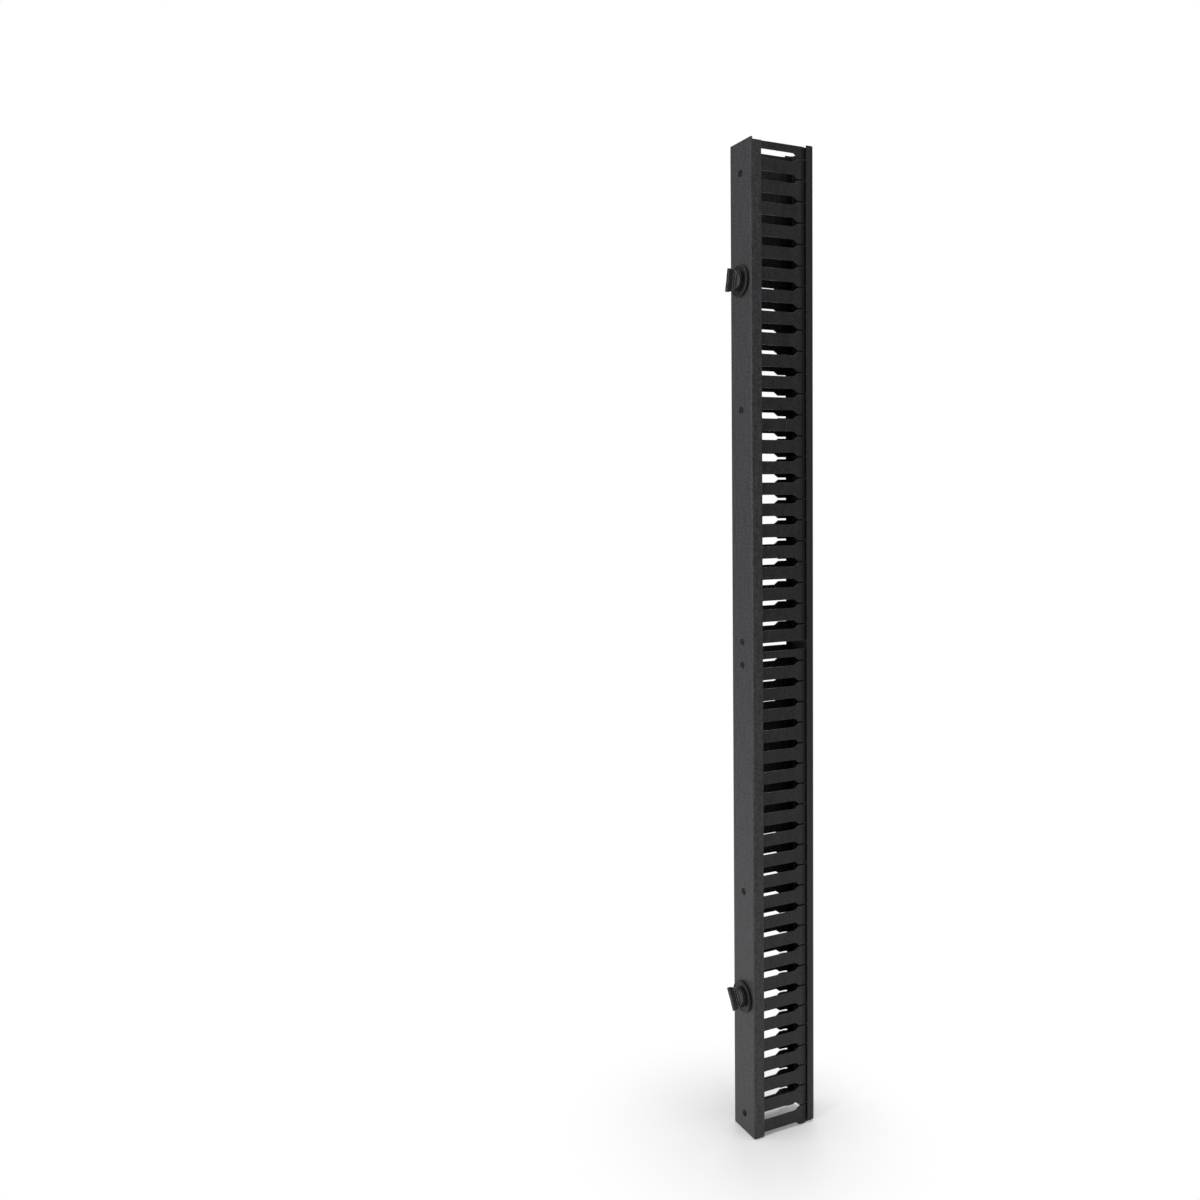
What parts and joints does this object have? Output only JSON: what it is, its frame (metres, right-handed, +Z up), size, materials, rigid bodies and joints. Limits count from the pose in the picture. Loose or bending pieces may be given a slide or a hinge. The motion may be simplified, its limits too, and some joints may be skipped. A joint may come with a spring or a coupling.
{
  "type": "vertical cable manager",
  "caption": "Tall rack cable manager: finger-slotted ducts on a folded base plate, with a clip-on cover and wing-knob clamps.",
  "frame": {"origin": "on the base plate's outer face, on its centre line, at the plate's lower end", "axes": "+X from the base plate's outer face to the cover, +Y from front to back, +Z up"},
  "size_m": [0.1948, 0.08, 2.1072],
  "materials": {
    "plate_paint": "satin textured powder coat",
    "duct_plastic": "satin moulded, fine grain",
    "cover_plastic": "satin extruded",
    "black_screws": "black oxide",
    "zinc": "zinc plated",
    "pad_rubber": "matte",
    "disc_plastic": "satin moulded",
    "nylon": "smooth nylon",
    "brass": "turned",
    "knob_plastic": "satin moulded"
  },
  "bodies": {
    "duct_assembly": {"base_plate": "plate_paint", "upper_duct": "duct_plastic", "lower_duct": "duct_plastic", "upper_duct_screws": "black_screws", "upper_duct_washers": "zinc", "upper_duct_nuts": "zinc", "lower_duct_screws": "black_screws", "lower_duct_washers": "zinc", "lower_duct_nuts": "zinc", "upper_stud": "zinc", "lower_stud": "zinc"},
    "cover": {"cover": "cover_plastic"},
    "upper_clamp": {"upper_clamp_pad": "pad_rubber", "upper_clamp_disc": "disc_plastic", "upper_slip_washer": "nylon"},
    "upper_knob": {"upper_knob_insert": "brass", "upper_knob": "knob_plastic"},
    "lower_clamp": {"lower_clamp_pad": "pad_rubber", "lower_clamp_disc": "disc_plastic", "lower_slip_washer": "nylon"},
    "lower_knob": {"lower_knob_insert": "brass", "lower_knob": "knob_plastic"}
  },
  "joints": [
    {"name": "cover_pull", "type": "slide", "parent": "duct_assembly", "child": "cover", "axis": [1, 0, 0], "range_m": [0, 0.06]},
    {"name": "upper_clamp_travel", "type": "slide", "parent": "duct_assembly", "child": "upper_clamp", "axis": [-1, 0, 0], "range_m": [0, 0.0025]},
    {"name": "upper_knob_turn", "type": "hinge", "parent": "upper_clamp", "child": "upper_knob", "pos_m": [0, 0, 1.821], "axis": [-1, 0, 0], "range_deg": [0, 720]},
    {"name": "lower_clamp_travel", "type": "slide", "parent": "duct_assembly", "child": "lower_clamp", "axis": [-1, 0, 0], "range_m": [0, 0.0025]},
    {"name": "lower_knob_turn", "type": "hinge", "parent": "lower_clamp", "child": "lower_knob", "pos_m": [0, 0, 0.297], "axis": [-1, 0, 0], "range_deg": [0, 720]}
  ],
  "couplings": [
    {"joint": "upper_clamp_travel", "follows": "upper_knob_turn", "m_per_rad": 0.00019894},
    {"joint": "lower_clamp_travel", "follows": "lower_knob_turn", "m_per_rad": 0.00019894}
  ]
}
